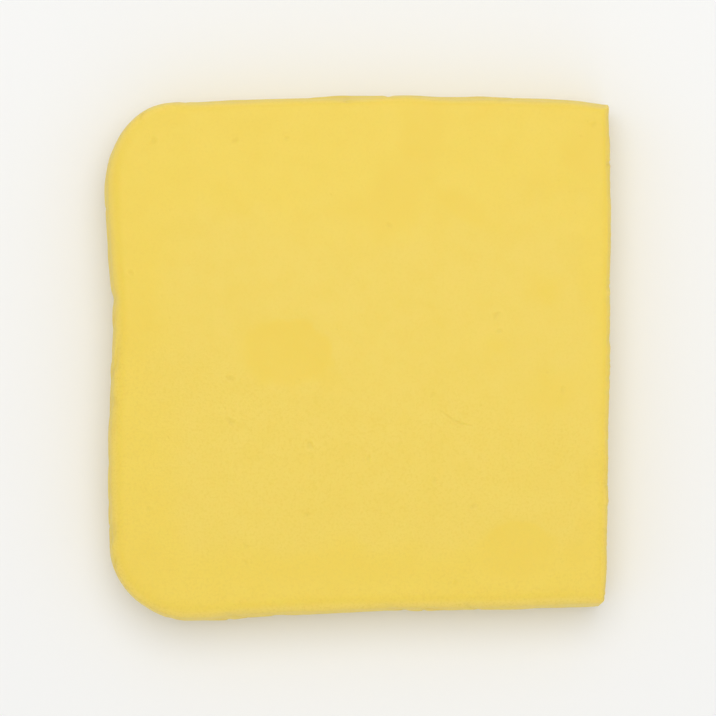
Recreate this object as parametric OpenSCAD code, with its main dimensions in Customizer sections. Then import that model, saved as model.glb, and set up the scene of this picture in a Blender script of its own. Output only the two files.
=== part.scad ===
// A piece of detailing clay: the half of a moulded bar that is left when a knife has cut it across.
// X runs from the moulded end to the cut face, Y from the near side to the far side, Z is up.
// The origin is on the table, under the middle of the slab.

/* [Slab] */
// Length, from the moulded end to the cut face
slab_length = 72; // [50:0.5:150]
// Greatest width, from the near side to the far side
slab_width = 74.6; // [50:0.1:120]
// Height at the middle of the top
slab_height = 12; // [8:0.1:30]
// How much higher the middle of the top stands than its edges
crown_height = 0.4; // [0:0.05:1.5]

/* [Corners, seen from above] */
// Radius of the moulded corner on the far side
far_moulded_r = 11; // [4:0.5:18]
// Radius of the moulded corner on the near side
near_moulded_r = 11; // [4:0.5:18]
// Radius of the cut corner on the far side
far_cut_r = 0.4; // [0.2:0.1:3]
// Radius of the cut corner on the near side, where the clay was pushed a little
near_cut_r = 1.1; // [0.2:0.1:3]

/* [Edges of the top and the foot] */
// Height of the rounding at the edge of the top
top_roll_height = 2; // [0.5:0.1:3]
// Width of that rounding on the moulded end
end_roll = 2.2; // [0.4:0.1:4]
// Width of that rounding on the far side
far_roll = 1; // [0.4:0.1:4]
// Width of that rounding on the cut face
cut_roll = 1.2; // [0.4:0.1:4]
// Width of that rounding on the near side
near_roll = 2.2; // [0.4:0.1:4]
// Height of the rounding at the foot
foot_height = 1.6; // [0.6:0.1:3]
// Width of the rounding at the foot of the moulded walls
moulded_foot = 1.6; // [0.2:0.1:3]
// Width of the rounding at the foot of the cut face, which the knife leaves keener
cut_foot = 0.4; // [0.1:0.1:3]
// How deep the soft clay has settled on its foot, which leaves a flat underside
settled = 0.3; // [0.1:0.05:0.5]
// How far the moulded walls swell out at half their height
moulded_belly = 0.5; // [0:0.1:2]
// How far the cut face swells out at half its height
cut_belly = 0.1; // [0:0.05:2]

/* [Hand-pressed outline] */
// How far the ends of the far side fall back from where it stands out most
far_bow = 1.6; // [0:0.1:3]
// Where the far side stands out most, along X from the middle
far_bow_x = 6; // [-12:0.5:12]
// How far the ends of the cut face fall back from where it stands out most
cut_bow = 0.65; // [0:0.05:2]
// Where the cut face stands out most, along Y from the middle
cut_bow_y = 14; // [-15:0.5:15]
// Depth of the waist in the moulded end
waist_depth = 0.8; // [0:0.1:2]
// Where the waist is deepest, along Y from the middle
waist_y = 5; // [-12:0.5:12]
// Half the length of the waist
waist_reach = 11; // [6:0.5:20]
// How far the moulded end leans back towards the near side
end_lean = 0.9; // [0:0.05:2]
// Height of the heel that stands out of the near side
heel_height = 0.6; // [0:0.1:1.5]
// Distance of the heel from the moulded end
heel_from_end = 14; // [11:0.5:24]
// Half the length of the heel
heel_reach = 8; // [5:0.5:15]
// How far the near side draws in from the heel to the cut face
near_taper = 1.5; // [0:0.1:4]

/* [Hidden] */

moulded_steps = 20; // segments round a moulded corner
cut_steps = 4;      // segments round a cut corner
side_steps = 16;    // segments along each of the four sides
foot_steps = 5;     // rings up the rounding at the foot
wall_steps = 6;     // rings up the wall, an even number, so that one is at half its height
roll_steps = 8;     // rings over the rounding at the top
crown_shares = [0.96, 0.88, 0.76, 0.62, 0.46, 0.3, 0.14]; // sizes of the rings on the top, as shares of its outline
keenest_r = 0.2;    // no corner gets sharper than this as its ring draws in

half_length = slab_length / 2;
half_width = slab_width / 2;
heel_x = heel_from_end - half_length;
top_edge_z = slab_height - crown_height; // where the crown starts
wall_top_z = top_edge_z - top_roll_height;
wall_mid_z = (foot_height + wall_top_z) / 2;

// Widths on each side, in the order [end, far, cut, near].
side_rolls = [end_roll, far_roll, cut_roll, near_roll];
side_feet = [moulded_foot, moulded_foot, cut_foot, moulded_foot];
side_bellies = [moulded_belly, moulded_belly, cut_belly, moulded_belly];

// ---- outline, seen from above ----

function arc(corner, inward, r, start, steps) =
    let (centre = corner + r * inward)
    [for (i = [0 : steps]) centre + r * [cos(start + 90 * i / steps), sin(start + 90 * i / steps)]];

function between(a, b) = [for (i = [1 : side_steps - 1]) a + (b - a) * i / side_steps];

function end_of(points) = points[len(points) - 1];

function drawn_in_r(r, inset_a, inset_b) = max(r - (inset_a + inset_b) / 2, keenest_r);

// A rectangle with four different round corners, counter-clockwise from the near cut corner.
// Each side is drawn in by its own inset: [end, far, cut, near].
function round_rectangle(inset) =
    let (x0 = -half_length + inset[0], y1 = half_width - inset[1],
         x1 = half_length - inset[2], y0 = -half_width + inset[3],
         near_cut = arc([x1, y0], [-1, 1], drawn_in_r(near_cut_r, inset[2], inset[3]), -90, cut_steps),
         far_cut = arc([x1, y1], [-1, -1], drawn_in_r(far_cut_r, inset[1], inset[2]), 0, cut_steps),
         far_end = arc([x0, y1], [1, -1], drawn_in_r(far_moulded_r, inset[0], inset[1]), 90, moulded_steps),
         near_end = arc([x0, y0], [1, 1], drawn_in_r(near_moulded_r, inset[0], inset[3]), 180, moulded_steps))
    concat(near_cut, between(end_of(near_cut), far_cut[0]),
           far_cut, between(end_of(far_cut), far_end[0]),
           far_end, between(end_of(far_end), near_end[0]),
           near_end, between(end_of(near_end), near_cut[0]));

// How far each side stands back from a straight line, at a place along it.
function far_set_back(x) = far_bow * pow((x - far_bow_x) / half_length, 2);
function cut_set_back(y) = cut_bow * pow((y - cut_bow_y) / half_width, 2);
function end_set_back(y) =
    end_lean * (0.5 - y / slab_width) + waist_depth * exp(-pow((y - waist_y) / waist_reach, 2));
function near_set_back(x) =
    near_taper * max(0, x - heel_x) / (half_length - heel_x)
    + heel_height * (1 - exp(-pow((x - heel_x) / heel_reach, 2)));

// A point moves with the set-back of every side, by its nearness to that side: 1 on it, 0 on the opposite one.
function pressed(p) =
    let (to_cut = 0.5 + p[0] / slab_length, to_far = 0.5 + p[1] / slab_width)
    [p[0] + (1 - to_cut) * end_set_back(p[1]) - to_cut * cut_set_back(p[1]),
     p[1] - to_far * far_set_back(p[0]) + (1 - to_far) * near_set_back(p[0])];

// The widest ring, and the stretch that brings it to the stated length and width about the origin.
widest = [for (p = round_rectangle([0, 0, 0, 0])) pressed(p)];
widest_low = [min([for (p = widest) p[0]]), min([for (p = widest) p[1]])];
widest_high = [max([for (p = widest) p[0]]), max([for (p = widest) p[1]])];
widest_middle = (widest_low + widest_high) / 2;
stretch = [slab_length / (widest_high[0] - widest_low[0]), slab_width / (widest_high[1] - widest_low[1])];

function fitted(p) = [(p[0] - widest_middle[0]) * stretch[0], (p[1] - widest_middle[1]) * stretch[1]];

function ring(inset, z) = [for (p = round_rectangle(inset)) let (q = fitted(pressed(p))) [q[0], q[1], z]];

// ---- section, from the foot to the middle of the top ----

function wall_insets(z) = side_bellies * pow((z - wall_mid_z) / (wall_top_z - wall_mid_z), 2);

foot_rings = [for (i = [0 : foot_steps])
    let (a = 90 * i / foot_steps)
    ring(wall_insets(foot_height) + side_feet * (1 - sin(a)),
         foot_height - (foot_height + settled) * cos(a))];

wall_rings = [for (i = [1 : wall_steps - 1])
    let (z = foot_height + (wall_top_z - foot_height) * i / wall_steps)
    ring(wall_insets(z), z)];

roll_rings = [for (i = [0 : roll_steps])
    let (a = 90 * i / roll_steps)
    ring(wall_insets(wall_top_z) + side_rolls * (1 - cos(a)),
         wall_top_z + top_roll_height * sin(a))];

top_outline = end_of(roll_rings);

crown_rings = [for (share = crown_shares)
    [for (p = top_outline) [p[0] * share, p[1] * share, slab_height - crown_height * share * share]]];

rings = concat(foot_rings, wall_rings, roll_rings, crown_rings);
ring_points = len(rings[0]);

// ---- skin ----

function flat_list(lists) = [for (one = lists) each one];

// The rings, then the middle of the sole and the middle of the top.
skin_points = concat(flat_list(rings), [[0, 0, -settled], [0, 0, slab_height]]);
last_ring = (len(rings) - 1) * ring_points;
sole = last_ring + ring_points;
summit = sole + 1;

function next_on_ring(j) = (j + 1) % ring_points;

skin_faces = concat(
    [for (j = [0 : ring_points - 1]) [sole, j, next_on_ring(j)]],
    [for (k = [0 : len(rings) - 2], j = [0 : ring_points - 1])
        let (next = next_on_ring(j), low = k * ring_points, high = low + ring_points)
        each [[low + j, high + j, high + next], [low + j, high + next, low + next]]],
    [for (j = [0 : ring_points - 1]) [last_ring + j, summit, last_ring + next_on_ring(j)]]);

// The one solid piece of clay. The table takes away what would settle below it.
module clay_slab() {
    color([0.94, 0.82, 0.38])
        intersection() {
            polyhedron(points = skin_points, faces = skin_faces, convexity = 4);
            translate([-slab_length, -slab_width, 0])
                cube([2 * slab_length, 2 * slab_width, 2 * slab_height]);
        }
}

clay_slab();
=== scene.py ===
import bmesh
import bpy
import math
import random
import numpy as np
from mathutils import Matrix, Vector, bvhtree, noise


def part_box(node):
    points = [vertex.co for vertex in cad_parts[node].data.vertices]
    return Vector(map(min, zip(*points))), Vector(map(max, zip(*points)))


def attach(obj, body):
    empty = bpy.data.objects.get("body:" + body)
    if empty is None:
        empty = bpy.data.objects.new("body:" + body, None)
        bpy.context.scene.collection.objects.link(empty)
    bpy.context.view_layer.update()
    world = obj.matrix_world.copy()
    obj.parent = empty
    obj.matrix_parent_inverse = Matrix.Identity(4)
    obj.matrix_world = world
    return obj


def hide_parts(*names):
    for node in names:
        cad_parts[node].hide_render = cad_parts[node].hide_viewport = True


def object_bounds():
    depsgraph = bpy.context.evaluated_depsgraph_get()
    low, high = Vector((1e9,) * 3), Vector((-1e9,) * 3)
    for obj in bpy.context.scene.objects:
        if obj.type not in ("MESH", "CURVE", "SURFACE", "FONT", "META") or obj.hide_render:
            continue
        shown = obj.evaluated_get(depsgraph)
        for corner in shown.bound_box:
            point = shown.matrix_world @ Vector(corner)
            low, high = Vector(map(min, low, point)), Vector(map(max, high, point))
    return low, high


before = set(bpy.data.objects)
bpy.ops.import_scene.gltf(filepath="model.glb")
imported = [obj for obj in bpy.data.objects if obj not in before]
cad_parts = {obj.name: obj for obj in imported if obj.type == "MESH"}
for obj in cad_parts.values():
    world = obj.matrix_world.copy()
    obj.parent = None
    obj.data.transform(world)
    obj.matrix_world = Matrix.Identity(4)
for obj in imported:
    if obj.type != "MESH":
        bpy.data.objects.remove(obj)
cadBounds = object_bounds()
mm = 0.001

lowCorner, highCorner = (np.array(corner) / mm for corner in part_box("clay_slab"))
middle = (lowCorner + highCorner) / 2
halfSize = (highCorner - lowCorner) / 2
slabHeight = highCorner[2] - lowCorner[2]

# The skin is a box of square cells, pulled in onto the CAD solid.
skin = {
    "coarseCells": 92,       # largest cells along the length and along the width
    "coarseCellsUp": 16,     # and up the height
    "unitsPerCell": 8,       # a cell halves down to one unit, about 0.1 mm
    "pitUnits": 1,           # units in a cell at a pit
    "pitRimUnits": 2,        # round a pit
    "topUnits": 4,
    "wallUnits": 4,
    "cutUnits": 2,           # on the cut face, for the knife's lines
    "soleEdgeUnits": 4,
    "core": 5.5,             # depth inside the wall that the rays to it start from, mm
    "soleBorder": 4.0,       # width of the finer band round the underside, mm
    "onTable": 0.02,         # points up to this high lie on the table, and smoothing leaves them there, mm
    "smoothing": 3,          # passes that take the facets off
    "smoothingShare": 0.5,   # of the way to the neighbours' middle, in one pass
}

# Where fingers pressed. Places on the top are shares of half the length and half the width, from the middle.
# Half sizes and depth are in mm, and edge is how soft its border is.
prints = [
    {"at": (-0.283, 0.018), "half": (6.5, 4.9), "turn": -6, "depth": 0.12, "edge": 0.30, "shade": 1.0,
     "keen": 35},            # bearing of its crispest border
    {"at": (-0.13, -0.07), "half": (4.2, 1.8), "turn": -42, "depth": 0.05, "edge": 0.8, "shade": 0.35},
    {"at": (0.62, -0.73), "half": (5.8, 4.3), "turn": 6, "depth": 0.10, "edge": 0.40, "shade": 0.8,
     "keen": 80},
    {"at": (0.87, -0.74), "half": (2.6, 2.0), "turn": 0, "depth": 0.05, "edge": 0.8, "shade": 0.5},
    {"at": (0.25, 0.83), "half": (3.4, 8.4), "turn": -12, "depth": 0.07, "edge": 0.5, "shade": 0.9},
    {"at": (0.14, 0.60), "half": (4.1, 6.4), "turn": -30, "depth": 0.07, "edge": 0.5, "shade": 0.9},
    {"at": (0.00, 0.57), "half": (5.0, 2.2), "turn": 8, "depth": 0.03, "edge": 0.9, "shade": 0.5},
    {"at": (0.41, 0.57), "half": (4.6, 1.9), "turn": -36, "depth": 0.05, "edge": 0.6, "shade": 0.8},
    {"at": (0.89, 0.79), "half": (3.9, 4.4), "turn": 0, "depth": 0.06, "edge": 0.5, "shade": 0.8},
    {"at": (-0.87, 0.13), "half": (3.2, 6.5), "turn": 0, "depth": 0.05, "edge": 0.9, "shade": 0.5},
    {"at": (0.73, 0.26), "half": (3.0, 2.4), "turn": 30, "depth": 0.03, "edge": 0.9, "shade": 0.5},
    {"at": (0.53, 0.05), "half": (1.9, 1.5), "turn": 0, "depth": 0.03, "edge": 0.9, "shade": 0.45},
    {"at": (0.76, -0.14), "half": (4.2, 3.2), "turn": 20, "depth": 0.04, "edge": 0.9, "shade": 0.5},
    {"at": (-0.06, -0.80), "half": (16.0, 2.6), "turn": 2, "depth": 0.03, "edge": 0.9, "shade": 0.5},
    {"at": (-0.85, -0.78), "half": (4.5, 5.5), "turn": 35, "depth": 0.05, "edge": 0.9, "shade": 0.5},
]

pits = {
    # place as shares, then radius and depth in mm
    "known": [(0.54, 0.16, 0.64, 0.056), (0.55, 0.10, 0.52, 0.040), (-0.50, -0.08, 0.67, 0.048),
              (-0.50, -0.24, 0.72, 0.056), (-0.19, -0.33, 0.74, 0.064), (0.04, -0.38, 0.52, 0.040),
              (0.29, -0.14, 0.48, 0.040), (0.45, -0.56, 0.64, 0.048), (-0.20, -0.59, 0.54, 0.048),
              (-0.44, -0.71, 0.48, 0.040), (-0.44, -0.77, 0.46, 0.040), (0.80, -0.12, 0.54, 0.040),
              (-0.80, 0.82, 0.64, 0.048), (-0.48, 0.82, 0.54, 0.048), (-0.28, 0.83, 0.42, 0.040),
              (0.12, 0.50, 0.52, 0.040), (-0.89, 0.32, 0.54, 0.040), (0.30, -0.46, 0.48, 0.040),
              (0.38, -0.85, 0.46, 0.040), (0.92, 0.88, 0.46, 0.040), (-0.82, -0.57, 0.52, 0.040)],
    "scratchFrom": (0.322, -0.200), "scratchTo": (0.446, -0.256),  # one short drag of a nail
    "scratchRadius": 0.30, "scratchDepth": 0.038, "scratchSteps": 25, "scratchSag": -0.5,
    "scratchEnds": 0.55,     # its size at both ends, as a share
    "strays": 26, "seed": 11,                                      # more pits anywhere, smaller
    "strayWithin": 0.9, "strayRadius": (0.14, 0.26), "strayDepth": (0.02, 0.04),
    "reach": 1.5,            # cells are fine out to this many radii, and half fine out to twice as many
}


def smoothStep(low, high, value):
    share = np.clip((value - low) / (high - low), 0, 1)
    return share * share * (3 - 2 * share)


def onTop(shareX, shareY):
    return middle[0] + shareX * halfSize[0], middle[1] + shareY * halfSize[1]


# The scratch is a row of pits that overlap.
def listPits():
    draw = random.Random(pits["seed"])
    found = [(*onTop(x, y), radius, depth) for x, y, radius, depth in pits["known"]]
    start, end = onTop(*pits["scratchFrom"]), onTop(*pits["scratchTo"])
    for step in range(pits["scratchSteps"]):
        share = step / (pits["scratchSteps"] - 1)
        bow = math.sin(math.pi * share)
        fade = pits["scratchEnds"] + (1 - pits["scratchEnds"]) * bow
        found.append((start[0] + share * (end[0] - start[0]),
                      start[1] + share * (end[1] - start[1]) + pits["scratchSag"] * bow,
                      pits["scratchRadius"] * fade, pits["scratchDepth"] * fade))
    span = pits["strayWithin"]
    for _ in range(pits["strays"]):
        x, y = onTop(draw.uniform(-span, span), draw.uniform(-span, span))
        found.append((x, y, draw.uniform(*pits["strayRadius"]), draw.uniform(*pits["strayDepth"])))
    return np.array(found)


pitList = listPits()
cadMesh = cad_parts["clay_slab"].data
cadSkin = bvhtree.BVHTree.FromPolygons([vertex.co / mm for vertex in cadMesh.vertices],
                                       [tuple(face.vertices) for face in cadMesh.polygons])
unitsAcross = skin["coarseCells"] * skin["unitsPerCell"]
unitsUp = skin["coarseCellsUp"] * skin["unitsPerCell"]
unitCounts = (unitsAcross, unitsAcross, unitsUp)


# For a spot on the box of cells: the slab's middle, the heading from there to the spot, how far off the wall
# is that way, how far out the spot stands, and how far up or down.
def aim(spot):
    share = [2 * spot[axis] / unitCounts[axis] - 1 for axis in range(3)]
    nearness = max(abs(share[0]), abs(share[1]))
    direction = Vector((share[0] * halfSize[0], share[1] * halfSize[1], 0))
    heading = direction.normalized() if nearness else Vector((1, 0, 0))
    axisPoint = Vector(middle)
    wall = cadSkin.ray_cast(axisPoint, heading)[0]
    reach = (wall - axisPoint).length
    level = Vector((0, 0, share[2] * halfSize[2]))
    return axisPoint, heading, reach, nearness * reach, level


def pullIn(spot):
    axisPoint, heading, reach, outwards, level = aim(spot)
    inside = axisPoint + heading * min(outwards, reach - skin["core"])
    outside = axisPoint + heading * outwards + level
    hit = cadSkin.ray_cast(inside, (outside - inside).normalized())[0]
    return hit or cadSkin.find_nearest(outside)[0]


def wantedUnits(side, centre):
    axisPoint, heading, reach, outwards, level = aim(centre)
    x, y = (axisPoint + heading * outwards)[:2]
    if side == "top":
        gap = (np.hypot(pitList[:, 0] - x, pitList[:, 1] - y) / pitList[:, 2]).min()
        if gap < pits["reach"]:
            return skin["pitUnits"]
        return skin["pitRimUnits"] if gap < 2 * pits["reach"] else skin["topUnits"]
    if side == "sole":
        return skin["unitsPerCell"] if reach - outwards > skin["soleBorder"] else skin["soleEdgeUnits"]
    return skin["cutUnits"] if side == "cut" else skin["wallUnits"]


def cellsOf(side, axes, fixed, corner, size):
    half = size / 2
    centre = [0, 0, 0]
    centre[axes[0]], centre[axes[1]], centre[fixed[0]] = corner[0] + half, corner[1] + half, fixed[1]
    if size > 1 and wantedUnits(side, centre) < size:
        step = size // 2
        for a, b in ((0, 0), (step, 0), (0, step), (step, step)):
            yield from cellsOf(side, axes, fixed, (corner[0] + a, corner[1] + b), step)
    else:
        yield size, axes, fixed, corner


def cellSkin():
    # The two axes of each side run so that its faces turn outwards.
    sides = [("cut", (1, 2), (0, unitsAcross)), ("end", (2, 1), (0, 0)), ("far", (2, 0), (1, unitsAcross)),
             ("near", (0, 2), (1, 0)), ("top", (0, 1), (2, unitsUp)), ("sole", (1, 0), (2, 0))]
    step = skin["unitsPerCell"]
    cells = [cell for side, axes, fixed in sides
             for a in range(0, unitCounts[axes[0]], step) for b in range(0, unitCounts[axes[1]], step)
             for cell in cellsOf(side, axes, fixed, (a, b), step)]
    # The finest cells come first, so that a larger one finds its finer neighbours' points.
    cells.sort(key=lambda cell: cell[0])
    index, faces = {}, []
    for size, axes, fixed, (a, b) in cells:
        ring = []
        for start, run in (((a, b), (1, 0)), ((a + size, b), (0, 1)),
                           ((a + size, b + size), (-1, 0)), ((a, b + size), (0, -1))):
            for along in range(size):
                spot = [0, 0, 0]
                spot[fixed[0]] = fixed[1]
                spot[axes[0]], spot[axes[1]] = start[0] + along * run[0], start[1] + along * run[1]
                key = tuple(spot)
                if along == 0:
                    index.setdefault(key, len(index))
                if key in index:     # a corner, or a finer neighbour's point on this edge
                    ring.append(index[key])
        faces.append(ring)
    return [pullIn(spot) for spot in index], faces


def smoothSkin():
    build = bmesh.new()
    build.from_mesh(mesh)
    lifted = [vertex for vertex in build.verts if vertex.co.z > skin["onTable"] * mm]
    for _ in range(skin["smoothing"]):
        bmesh.ops.smooth_vert(build, verts=lifted, factor=skin["smoothingShare"],
                              use_axis_x=True, use_axis_y=True, use_axis_z=True)
    build.to_mesh(mesh)
    build.free()


points, faces = cellSkin()
mesh = bpy.data.meshes.new("claySlab")
mesh.from_pydata([point * mm for point in points], [], faces)
smoothSkin()
clay = bpy.data.objects.new("claySlab", mesh)
bpy.context.scene.collection.objects.link(clay)
print("skin:", len(mesh.vertices), "points,", len(mesh.polygons), "faces,",
      sum(len(face.vertices) - 2 for face in mesh.polygons), "triangles")

# What hands, mould and knife left in the clay. Lengths are in mm.
wear = {
    "topSwell": 0.07,        # slow rise and fall of the top
    "wallSwell": 0.17,       # and of the moulded walls
    "soleSwell": 0.10,       # hollows in the underside, which lift it off the table
    "peel": 0.016,           # small lumps all over
    "foldDepth": 0.20, "foldWidth": 0.07,         # width as a share of the folds' spacing
    "foldStretch": 0.35, "foldSlant": 0.5,        # folds run down the wall, a little aslant
    "seamHeight": 0.12, "seamHalf": 0.26,         # parting line of the mould
    "seamLevel": 0.46, "seamSway": 0.03,          # as shares of the slab's height
    "dentBulge": 0.35, "dentBulgeAt": 1.1, "dentBulgeHalf": 0.35,    # clay pushed up round a dent
    "dentHalf": 0.6325, "dentSquash": 1.6,        # dents are wider than they are high
    "printSlope": 0.75,      # a dent's edge is at least this soft, however crisp its shade is
    "printSpread": 0.5,      # how soft a print is outside its border, as a share of how soft it is inside
    "printUneven": 0.16,
    "printRim": 0.12,        # height of the rim round a print, as a share of its depth
    "printRimAt": 0.35, "printRimLeast": 0.10, "printRimHalf": 0.25,    # it goes by how soft the edge is
    "keenSoftness": 0.4, "looseSoftness": 1.2,    # of the border on the keen side and on the other one
    "keenTurn": (-0.4, 0.8),                      # cosine of the bearing where the one gives way to the other
    "pitRim": 0.18, "pitRimAt": 1.15, "pitRimHalf": 0.22,
    "pitWaves": [(2, 0.22, 1), (3, 0.10, 2.3)],   # round each pit: number, height, and turn from pit to pit
    "pitFull": 0.05,         # a pit this deep is fully dark
    "pores": 46, "poreSeed": 23,                  # in the walls
    "poreRadius": (0.35, 0.60), "poreDepth": (0.05, 0.12), "poreShape": (0.6, 1.4),
    "poreWall": 0.98,        # a pore starts where the side is at least this much a wall
    "poreAbove": 1.5, "poreBelow": 2.5,           # kept clear of the foot and of the top's edge
    "topHold": 0.4,          # share of a push in the outline that the top's own edge doesn't follow
    "shortestHeading": 0.25,                      # a normal laid flat counts as at least this long
    "wallSheen": 0.3,         # painted sheen on the walls, as a share of that on the rolled edge of the top
}

knife = {
    "slant": 0.16,           # its lines lean this much as they run down the cut face
    "stretch": 0.05,         # and change this much as fast down it as across it
    "drag": 0.13, "hairline": 0.035,
    "grooveSway": 0.12, "grooveTurns": 6,         # turns as a multiple of how fast the lines change
    "grooveRim": 0.5, "grooveRimAt": 1.6, "grooveRimHalf": 0.6,
    "tear": 0.16, "tearStretch": 0.6,             # roughness low down, where the clay tore
    "tearLevels": (0.55, 0.12),                   # from none to all of it, as shares of the height
    "lip": 0.16, "lipHeight": 0.9,                # clay that the blade pushed out at the table
    "lipUsual": 0.6, "lipSway": 0.8,              # shares of it
    "grooves": [             # from nicks in the blade: share of half the width, half width, depth
        (0.78, 0.30, 0.14), (0.55, 0.22, 0.09), (0.31, 0.45, 0.12), (0.02, 0.24, 0.10),
        (-0.17, 0.34, 0.15), (-0.44, 0.22, 0.08), (-0.61, 0.40, 0.13), (-0.86, 0.26, 0.10)],
}

dents = [                    # thumbs in the walls: shares of half length, half width and height, reach, depth
    (0.45, -1.0, 0.30, 7.0, 0.40), (-0.35, -1.0, 0.26, 6.0, 0.30), (-0.30, 1.0, 0.30, 7.5, 0.38),
    (0.62, 1.0, 0.32, 5.5, 0.28), (-1.0, -0.45, 0.28, 6.0, 0.32), (-1.0, 0.52, 0.30, 5.0, 0.25),
]

# Where the outline was pushed out (+) or in (-): share of half length and width, reach in mm, push in mm.
pushes = [
    (0.99, 0.00, 22.0, -0.10), (0.99, 0.25, 7.0, -0.28), (0.99, -0.25, 6.0, -0.18), (0.99, 0.70, 6.0, -0.20),
    (0.99, 0.93, 4.0, -0.33), (0.86, 0.99, 6.0, 0.22), (0.66, 0.99, 4.5, -0.14), (0.36, 0.99, 5.5, -0.20),
    (0.20, 0.99, 2.5, 0.16), (-0.03, 0.99, 3.0, -0.14), (-0.22, 0.99, 6.5, -0.12), (-0.47, 0.99, 4.0, -0.08),
    (-0.82, 0.92, 5.4, 0.64), (-0.99, 0.47, 4.0, -0.16), (-0.98, 0.28, 5.0, -0.18), (-0.99, -0.06, 4.5, 0.08),
    (-0.97, -0.16, 4.0, -0.06), (-0.92, -0.58, 4.0, -0.12), (-0.84, -0.83, 4.5, 0.24),
    (-0.45, -0.98, 4.0, -0.13), (-0.12, -0.98, 3.5, -0.06), (0.16, -0.97, 8.0, -0.16),
    (0.62, -0.97, 9.0, 0.08), (0.98, -0.81, 4.0, 0.22),
    (-0.97, 0.219, 1.1, -0.26), (-0.97, 0.105, 0.8, -0.11),     # a nick in the moulded end
]

# The middle of the top is painted paler, as painted sheen of the overhead lamp, and its border keeps the
# richer colour of handled clay.
# It fades in from each side between two shares of half the length or width.
sheenEdges = {
    "end": (-0.86, -0.64), "cut": (0.96, 0.84), "near": (-0.80, -0.66), "far": (0.66, 0.40), "sway": 0.10,
}

# How far a point's normal leans a way, or how far out the point is, where a side of the slab comes in.
facing = {
    "top": (0.55, 0.97), "sole": (0.55, 0.97), "cut": (0.5, 0.9), "cutReach": (0.7, 0.9),
    "flatSole": (0.75, 0.99), "rolled": (0.995, 0.75), "upperRoll": (0.0, 0.45),
}

# Spacing in mm, seed and octaves of each noise.
noises = {
    "topSwell": (19, 1, 2), "wallSwell": (9, 2, 2), "peel": (1.5, 3, 3), "fold": (8, 4, 2),
    "foldPatch": (14, 5, 2), "drag": (1.5, 6, 2), "hairline": (0.5, 7, 2), "tearPatch": (10, 8, 2),
    "tear": (1.4, 9, 4), "lip": (6, 10, 2), "hollowPatch": (8, 11, 2), "print": (3.5, 12, 2),
    "seam": (12, 13, 2), "seamPatch": (11, 14, 2), "dragPatch": (12, 15, 2), "groove": (3, 16, 2),
    "groovePatch": (7, 17, 2), "paleSheen": (9, 21, 4),
}
seedShift = 31.7             # keeps two noises of one spacing apart

# Noise between which a mark comes in from nothing to all of it.
patchEdges = {"foldPatch": (-0.25, 0.20), "seamPatch": (-0.35, 0.15), "dragPatch": (-0.5, 0.4),
              "groovePatch": (-0.45, 0.25), "tearPatch": (-0.2, 0.5), "hollowPatch": (0.0, 0.5)}


def readPoints():
    flat = np.empty(len(mesh.vertices) * 3, np.float32)
    mesh.vertices.foreach_get("co", flat)
    places = flat.reshape(-1, 3).astype(float) / mm
    mesh.vertices.foreach_get("normal", flat)
    return places, flat.reshape(-1, 3).astype(float)


def wander(name, spots, where=None, shift=0):
    spacing, seed, octaves = noises[name]
    values = np.zeros(len(spots))                   # left at 0 where the mask is 0
    chosen = np.arange(len(spots)) if where is None else np.flatnonzero(where > 0)
    moved = spots[chosen] / spacing + seedShift * (seed + shift)
    halving, doubling = 1.0, 2.0                    # each octave is half as strong and twice as fine
    values[chosen] = [noise.fractal(Vector(spot), halving, doubling, octaves) for spot in moved]
    return values


def patches(name, spots, where=None, shift=0):
    return smoothStep(*patchEdges[name], wander(name, spots, where, shift))


def ridge(distance, at, half):                      # 1 at the place, and almost 0 from twice the half width
    return np.exp(-((distance - at) / half) ** 2)


def bowl(distance):                                 # 1 in the middle, 0 from a distance of 1
    return np.clip(1 - distance ** 2, 0, 1) ** 1.5


def storeShare(name, values):                       # kept on the points for the material to read
    attribute = mesh.attributes.new(name, "FLOAT", "POINT")
    attribute.data.foreach_set("value", np.clip(values, 0, 1).astype(np.float32))


places, normals = readPoints()
x, y, z = places.T
shareX, shareY = (x - middle[0]) / halfSize[0], (y - middle[1]) / halfSize[1]
top = smoothStep(*facing["top"], normals[:, 2])
sole = smoothStep(*facing["sole"], -normals[:, 2])
cutFace = smoothStep(*facing["cut"], normals[:, 0]) * smoothStep(*facing["cutReach"], shareX)
moulded = (1 - top - sole) * (1 - cutFace)
cutFace = cutFace * (1 - sole)


def swell():
    rise = top * wear["topSwell"] * wander("topSwell", places)
    rise += moulded * wear["wallSwell"] * wander("wallSwell", places, moulded)
    return rise + (1 - sole) * wear["peel"] * wander("peel", places)


# Soft folds that a wrapper left: the noise is drawn out down the wall, and its zero crossings make them.
def findFolds():
    spots = places * (1, 1, wear["foldStretch"]) + wear["foldSlant"] * np.column_stack([z, -z, 0 * z])
    creases = ridge(wander("fold", spots, moulded), 0, wear["foldWidth"])
    return creases * moulded * patches("foldPatch", places, moulded)


def raiseSeam():
    along = places * (1, 1, 0)
    level = slabHeight * (wear["seamLevel"] + wear["seamSway"] * wander("seam", along, moulded))
    seam = ridge(z, level, wear["seamHalf"]) * patches("seamPatch", along, moulded)
    return moulded * wear["seamHeight"] * seam


# Thumbs pressed the moulded walls in, and the clay beside each one bulged a little.
def pressDents():
    change = np.zeros(len(places))
    for dentShareX, dentShareY, level, reach, depth in dents:
        dentX, dentY = onTop(dentShareX, dentShareY)
        below = wear["dentSquash"] * (z - level * slabHeight)
        distance = np.sqrt((x - dentX) ** 2 + (y - dentY) ** 2 + below ** 2) / reach
        bulge = wear["dentBulge"] * ridge(distance, wear["dentBulgeAt"], wear["dentBulgeHalf"])
        change += moulded * depth * (bulge - ridge(distance, 0, wear["dentHalf"]))
    return change


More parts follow.
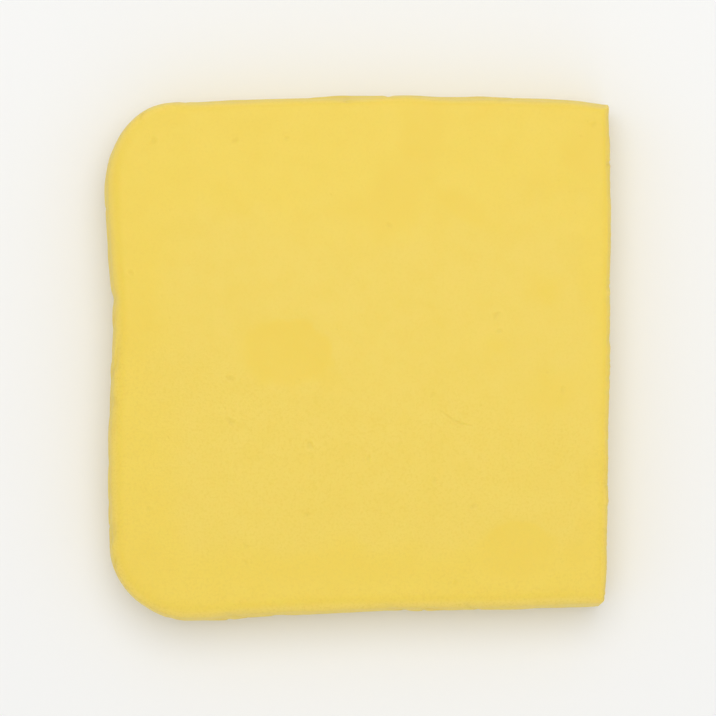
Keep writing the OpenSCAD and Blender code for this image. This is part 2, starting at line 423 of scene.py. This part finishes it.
def drawKnifeLines():
    across = y + knife["slant"] * z
    spots = np.column_stack([0 * x, across, knife["stretch"] * z])
    streaks = wander("drag", spots, cutFace)
    change = knife["drag"] * streaks * patches("dragPatch", places, cutFace)
    change += knife["hairline"] * wander("hairline", spots, cutFace)
    for share, halfWidth, depth in knife["grooves"]:
        sway = knife["grooveSway"] * wander("groove", spots * (0, 0, knife["grooveTurns"]), cutFace, share)
        distance = (across - middle[1] - share * halfSize[1] + sway) / halfWidth
        rims = knife["grooveRim"] * ridge(np.abs(distance), knife["grooveRimAt"], knife["grooveRimHalf"])
        shape = rims - ridge(distance, 0, 1)
        change += depth * shape * patches("groovePatch", places, cutFace, share)
        streaks = streaks + shape
    return cutFace * change, streaks


def tearAtTable():
    lowDown = smoothStep(*knife["tearLevels"], z / slabHeight) * patches("tearPatch", places, cutFace)
    tearing = lowDown * knife["tear"] * wander("tear", places * (1, 1, knife["tearStretch"]), cutFace)
    along = np.column_stack([0 * x, y, 0 * z])
    uneven = knife["lipUsual"] + knife["lipSway"] * wander("lip", along, cutFace)
    lip = knife["lip"] * ridge(z, knife["lipHeight"] / 2, knife["lipHeight"]) * uneven
    return cutFace * (tearing + lip)


def within(distance, softness):                     # 1 inside a print's border, 0 outside it
    return 1 - smoothStep(1 - softness, 1 + wear["printSpread"] * softness, distance)


def pressPrint(mark):
    turn = math.radians(mark["turn"])
    centreX, centreY = onTop(*mark["at"])
    along = (x - centreX) * math.cos(turn) + (y - centreY) * math.sin(turn)
    across = (y - centreY) * math.cos(turn) - (x - centreX) * math.sin(turn)
    uneven = 1 + wear["printUneven"] * wander("print", places, shift=mark["at"][0])
    distance = np.hypot(along / mark["half"][0], across / mark["half"][1]) / uneven
    softness = mark["edge"]
    if "keen" in mark:                              # the side that the finger was pushed against
        bearing = np.arctan2(y - centreY, x - centreX) - math.radians(mark["keen"])
        keenShare = smoothStep(*wear["keenTurn"], np.cos(bearing))
        softness = softness * (keenShare * wear["keenSoftness"] + (1 - keenShare) * wear["looseSoftness"])
    slope = max(mark["edge"], wear["printSlope"])
    rimHalf = wear["printRimLeast"] + wear["printRimHalf"] * slope
    rim = ridge(distance, 1 + wear["printRimAt"] * slope, rimHalf)
    return within(distance, softness), mark["depth"] * (wear["printRim"] * rim - within(distance, slope))


def pressPrints():
    change, touched = np.zeros(len(places)), np.zeros(len(places))
    for mark in prints:
        shade, pressed = pressPrint(mark)
        change += top * pressed
        touched = np.maximum(touched, top * shade * mark["shade"])
    return change, touched


def digPits():
    change, pitted = np.zeros(len(places)), np.zeros(len(places))
    for number, (pitX, pitY, radius, depth) in enumerate(pitList):
        bearing = np.arctan2(y - pitY, x - pitX)
        uneven = 1 + sum(height * np.sin(waves * bearing + turn * number)
                         for waves, height, turn in wear["pitWaves"])
        distance = np.hypot(x - pitX, y - pitY) / (radius * uneven)
        hollow = bowl(distance)
        rim = wear["pitRim"] * ridge(distance, wear["pitRimAt"], wear["pitRimHalf"])
        change += top * depth * (rim - hollow)
        pitted = np.maximum(pitted, top * hollow * min(1, depth / wear["pitFull"]))
    return change, pitted


def digPores():
    draw = random.Random(wear["poreSeed"])
    change, pitted = np.zeros(len(places)), np.zeros(len(places))
    highEnough, lowEnough = z > wear["poreAbove"], z < slabHeight - wear["poreBelow"]
    onWalls = np.flatnonzero((moulded + cutFace > wear["poreWall"]) & highEnough & lowEnough)
    for _ in range(wear["pores"]):
        centre = places[onWalls[draw.randrange(len(onWalls))]]
        radius, depth = draw.uniform(*wear["poreRadius"]), draw.uniform(*wear["poreDepth"])
        squash = draw.uniform(*wear["poreShape"])
        hollow = bowl(np.linalg.norm((places - centre) * (1, 1, squash), axis=1) / radius)
        change -= (1 - top) * depth * hollow
        pitted = np.maximum(pitted, (1 - top) * hollow * depth / wear["poreDepth"][1])
    return change, pitted


def pushOutline():
    sideways = np.zeros(len(places))
    for pushShareX, pushShareY, reach, push in pushes:
        pushX, pushY = onTop(pushShareX, pushShareY)
        sideways += push * ridge(np.hypot(x - pushX, y - pushY), 0, reach)
    headings = normals * (1, 1, 0)
    headings /= np.maximum(np.linalg.norm(headings, axis=1, keepdims=True), wear["shortestHeading"])
    return headings * (sideways * (1 - top * wear["topHold"]))[:, None]


# The sole's own points rise off the table in its hollows, and nothing goes below it.
def settleOnTable(moved):
    onSole = smoothStep(skin["onTable"], 0.0, z) * smoothStep(*facing["flatSole"], -normals[:, 2])
    moved[:, 2] = np.maximum(moved[:, 2], 0) + onSole * wear["soleSwell"] * patches("hollowPatch", places)


# Painted sheen: the rolled edge of the top is painted paler as grazing reflection, and the walls less so.
def findEdgeSheen():
    upperShare = smoothStep(*facing["upperRoll"], normals[:, 2])
    sheen = upperShare + (1 - upperShare) * wear["wallSheen"]
    return (1 - sole) * smoothStep(*facing["rolled"], normals[:, 2]) * sheen


# Painted sheen: the middle of the top is painted paler where the overhead lamp's reflection falls.
def findSheen():
    sway = sheenEdges["sway"] * wander("paleSheen", places)
    alongX = smoothStep(*sheenEdges["end"], shareX + sway) * smoothStep(*sheenEdges["cut"], shareX + sway)
    alongY = smoothStep(*sheenEdges["near"], shareY + sway) * smoothStep(*sheenEdges["far"], shareY + sway)
    return top * alongX * alongY


folds = findFolds()
lines, streaks = drawKnifeLines()
pressed, touched = pressPrints()
pitMoves, pitted = digPits()
poreMoves, poreShares = digPores()
outwards = swell() - wear["foldDepth"] * folds + raiseSeam() + pressDents()
outwards += lines + tearAtTable() + pressed + pitMoves + poreMoves
moved = places + normals * outwards[:, None] + pushOutline()
settleOnTable(moved)
mesh.vertices.foreach_set("co", (moved * mm).astype(np.float32).ravel())
mesh.shade_smooth()
mesh.update()

# Painted sheen on the middle of the top, left off where fingers touched.
storeShare("paleSheen", findSheen() * (1 - touched))
storeShare("touched", touched)
# Painted shade in the pits and pores.
storeShare("pitted", np.maximum(pitted, poreShares))
# Painted sheen of grazing reflection on the rolled edges.
storeShare("rolled", findEdgeSheen())
# Painted shade in the folds' creases.
storeShare("folded", folds)
# Partly knife streaks of smeared clay, partly painted shade where the cut face's lines and grooves sink in.
storeShare("streakedAndShaded", cutFace * (1 - streaks) / 2)
print("wear: moved by up to", round(float(np.abs(moved - places).max()), 2), "mm")


class Wire:                                         # a socket that takes part in Python arithmetic
    def __init__(self, graph, socket):
        self.graph, self.socket = graph, socket

    def maths(self, operation, first, second):
        return self.graph.add("Math", {"operation": operation}, {0: first, 1: second})

    def __add__(self, other):
        return self.maths("ADD", self, other)

    __radd__ = __add__

    def __sub__(self, other):
        return self.maths("SUBTRACT", self, other)

    def __rsub__(self, other):
        return self.maths("SUBTRACT", other, self)

    def __mul__(self, other):
        return self.maths("MULTIPLY", self, other)

    __rmul__ = __mul__


class Graph:
    def __init__(self, name):
        self.material = bpy.data.materials.new(name)
        self.material.use_nodes = True
        self.tree = self.material.node_tree
        self.tree.nodes.clear()

    def add(self, kind, settings=None, inputs=None, output=0):
        node = self.tree.nodes.new("ShaderNode" + kind)
        for name, value in (settings or {}).items():
            setattr(node, name, value)
        for name, value in (inputs or {}).items():
            socket = node.inputs[name]
            if isinstance(value, Wire):
                self.tree.links.new(value.socket, socket)
            else:
                socket.default_value = value
        return Wire(self, node.outputs[output]) if node.outputs else None

    def mix(self, share, first, second):            # of two colours; 0, 6 and 7 are a colour mix's sockets
        return self.add("Mix", {"data_type": "RGBA"}, {0: share, 6: first, 7: second}, 2)

    def between(self, value, low, high):            # 0 below low, 1 above high
        return self.add("MapRange", {"interpolation_type": "SMOOTHSTEP"},
                        {"Value": value, "From Min": low, "From Max": high})

    def noise(self, spots, spacing, detail, roughness):
        return self.add("TexNoise", {}, {"Vector": spots, "Scale": 1 / spacing, "Detail": detail,
                                         "Roughness": roughness})

    def part(self, vector, axis):
        return self.add("SeparateXYZ", {}, {0: vector}, axis)

    def stored(self, name):
        return self.add("Attribute", {"attribute_name": name}, output="Fac")


clayLook = {
    "rich": (0.790, 0.590, 0.0745, 1), "paleSheen": (0.784, 0.590, 0.0905, 1),  # handled clay, and a paler colour of painted sheen from the overhead lamp
    "deep": (0.765, 0.560, 0.068, 1),                                       # mottles, and painted shade in the folds' creases and the knife's grooves
    "dull": (0.750, 0.553, 0.071, 1),                                       # grains of the abrasive powder
    "oily": (0.778, 0.568, 0.064, 1),                                       # where a finger has polished it
    "edgeSheen": (0.860, 0.645, 0.135, 1),                                      # painted sheen of grazing reflection on the rolled edges
    "shadowed": (0.40, 0.295, 0.020, 1),                                    # painted shade at the bottom of a pit
    "mottle": (3.2, 4, 0.6),                                                # spacing in mm, detail, roughness
    "specks": (0.38, 3, 0.65), "grain": (0.23, 2, 0.6),
    "mottleRange": (0.35, 0.75), "speckRange": (0.45, 0.68),                # noise from none to all of it
    "mottleShare": 0.30, "speckShare": 0.80, "edgeSheenShare": 0.5,
    "foldShare": 0.7, "streakShare": 0.8, "pitShare": 0.10,
    "nearGrain": 1.0, "farGrain": 0.45,                                     # the near half is the rougher one
    "halves": (16, 3, 0.5), "halvesSway": 24, "halvesTilt": 0.22,           # the line on which they meet
    "halvesRange": (8, 22),                                                 # and where each is alone, mm
    "touchedCalm": 0.5,                                                     # share of it that fingers level
    "roughness": 0.52, "polish": 0.03, "mottleRoughness": 0.18, "speckRoughness": 0.10,
    "grainDepth": 0.016, "bump": 1.0, "ior": 1.45,
    "subsurface": 0.25, "scatter": 0.0016, "scatterColours": (1.0, 0.65, 0.2),
}


def makeClay():
    graph = Graph("detailingClay")
    place = graph.add("TexCoord", output="Object")
    spots = graph.add("VectorMath", {"operation": "SCALE"}, {"Vector": place, "Scale": 1 / mm})
    mottle, specks, grain = (graph.noise(spots, *clayLook[name]) for name in ("mottle", "specks", "grain"))
    paleSheen, touched, pitted, rolled, folded, streakedAndShaded = (
        graph.stored(name) for name in ("paleSheen", "touched", "pitted", "rolled", "folded", "streakedAndShaded"))
    sway = graph.noise(spots, *clayLook["halves"]) * clayLook["halvesSway"]
    lean = graph.part(spots, "X") * clayLook["halvesTilt"]
    nearness = graph.between(sway - graph.part(spots, "Y") - lean, *clayLook["halvesRange"])
    rough = clayLook["farGrain"] + nearness * (clayLook["nearGrain"] - clayLook["farGrain"])
    rough = rough * (1 - touched * clayLook["touchedCalm"])

    mottled = graph.between(mottle, *clayLook["mottleRange"]) * clayLook["mottleShare"]
    speckled = graph.between(specks, *clayLook["speckRange"]) * rough * clayLook["speckShare"]
    # Painted sheen: the middle of the top turns paler.
    colour = graph.mix(paleSheen, clayLook["rich"], clayLook["paleSheen"])
    colour = graph.mix(mottled, colour, clayLook["deep"])
    colour = graph.mix(touched, colour, clayLook["oily"])
    # Painted sheen: grazing reflection on the rolled edges is painted paler.
    colour = graph.mix(rolled * clayLook["edgeSheenShare"], colour, clayLook["edgeSheen"])
    # Painted shade in the folds' creases.
    colour = graph.mix(folded * clayLook["foldShare"], colour, clayLook["deep"])
    # Partly knife streaks, partly painted shade in the cut face's grooves.
    colour = graph.mix(streakedAndShaded * clayLook["streakShare"], colour, clayLook["deep"])
    colour = graph.mix(speckled, colour, clayLook["dull"])
    # Painted shade at the bottom of pits and pores.
    colour = graph.mix(pitted * clayLook["pitShare"], colour, clayLook["shadowed"])

    # 0.5 is the middle of a noise.
    roughness = clayLook["roughness"] + (mottle - 0.5) * clayLook["mottleRoughness"]
    roughness = roughness - touched * clayLook["polish"] + (specks - 0.5) * clayLook["speckRoughness"]
    bump = graph.add("Bump", {}, {"Strength": clayLook["bump"], "Distance": clayLook["grainDepth"] * mm,
                                  "Height": (grain + specks) * rough})
    shader = graph.add("BsdfPrincipled", {}, {
        "Base Color": colour, "Roughness": roughness, "Normal": bump, "IOR": clayLook["ior"],
        "Subsurface Weight": clayLook["subsurface"], "Subsurface Radius": clayLook["scatterColours"],
        "Subsurface Scale": clayLook["scatter"]})
    graph.add("OutputMaterial", {}, {"Surface": shader})
    return graph.material


mesh.materials.append(makeClay())
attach(clay, "root")
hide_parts("clay_slab")
print("clay: finished")

studio = {
    "floorSize": 60.0, "floorGap": 0.02,             # m, and mm under the slab
    "floorColour": (0.84, 0.84, 0.83, 1), "floorRoughness": 0.8,
    "speckle": (0.025, 3.0, 0.5), "speckleRoughness": 0.1,      # spacing in m, detail, roughness
    "fadeFrom": 0.12, "fadeTo": 0.8,                 # m; the floor blends into the sky
    "lamps": [(0.01, 0.12, 0.45, 0.36, 0.80),        # place and size in m, power in W
              (0.10, -0.60, 0.17, 0.30, 0.22)],
    "sky": (1.0, 1.0, 1.0, 1), "skyStrength": 0.78,
    "lens": 200, "slabShareOfFrame": 0.7075,         # mm, and length over frame width
    "clipFrom": 0.01, "clipTo": 50,                  # m
}


def makeFloor():
    graph = Graph("paleFloor")
    spots = graph.add("TexCoord", output="Object")
    roughness = studio["floorRoughness"] + graph.noise(spots, *studio["speckle"]) * studio["speckleRoughness"]
    lit = graph.add("BsdfPrincipled", {}, {"Base Color": studio["floorColour"], "Roughness": roughness})
    sky = graph.add("Emission", {}, {"Color": studio["sky"], "Strength": studio["skyStrength"]})
    distance = graph.add("VectorMath", {"operation": "LENGTH"}, {0: spots}, "Value")
    farAway = graph.between(distance, studio["fadeFrom"], studio["fadeTo"])
    graph.add("OutputMaterial", {}, {"Surface": graph.add("MixShader", {}, {0: farAway, 1: lit, 2: sky})})
    half = studio["floorSize"] / 2
    floorMesh = bpy.data.meshes.new("floor")
    corners = [(-half, -half, 0), (half, -half, 0), (half, half, 0), (-half, half, 0)]
    floorMesh.from_pydata(corners, [], [(0, 1, 2, 3)])
    floorMesh.materials.append(graph.material)
    floor = bpy.data.objects.new("floor", floorMesh)
    floor.location.z = cadBounds[0].z - studio["floorGap"] * mm
    bpy.context.scene.collection.objects.link(floor)


def makeLights():
    for *place, size, power in studio["lamps"]:
        light = bpy.data.lights.new("softbox", "AREA")
        light.shape, light.size, light.energy = "DISK", size, power
        lamp = bpy.data.objects.new("softbox", light)
        lamp.location = place
        lamp.rotation_euler = (-lamp.location).to_track_quat("-Z", "Y").to_euler()
        bpy.context.scene.collection.objects.link(lamp)
    world = bpy.data.worlds.new("studio")
    world.use_nodes = True
    background = world.node_tree.nodes["Background"]
    background.inputs["Color"].default_value = studio["sky"]
    background.inputs["Strength"].default_value = studio["skyStrength"]
    bpy.context.scene.world = world


def makeCamera():
    camera = bpy.data.cameras.new("camera")
    camera.lens, camera.clip_start, camera.clip_end = studio["lens"], studio["clipFrom"], studio["clipTo"]
    frameWidth = 2 * halfSize[0] * mm / studio["slabShareOfFrame"]
    viewer = bpy.data.objects.new("camera", camera)
    viewer.location = Vector(middle) * mm
    viewer.location.z += frameWidth * studio["lens"] / camera.sensor_width
    bpy.context.scene.collection.objects.link(viewer)
    bpy.context.scene.camera = viewer


makeFloor()
makeLights()
makeCamera()
bpy.context.scene.view_settings.view_transform = "Standard"
print("studio: finished")
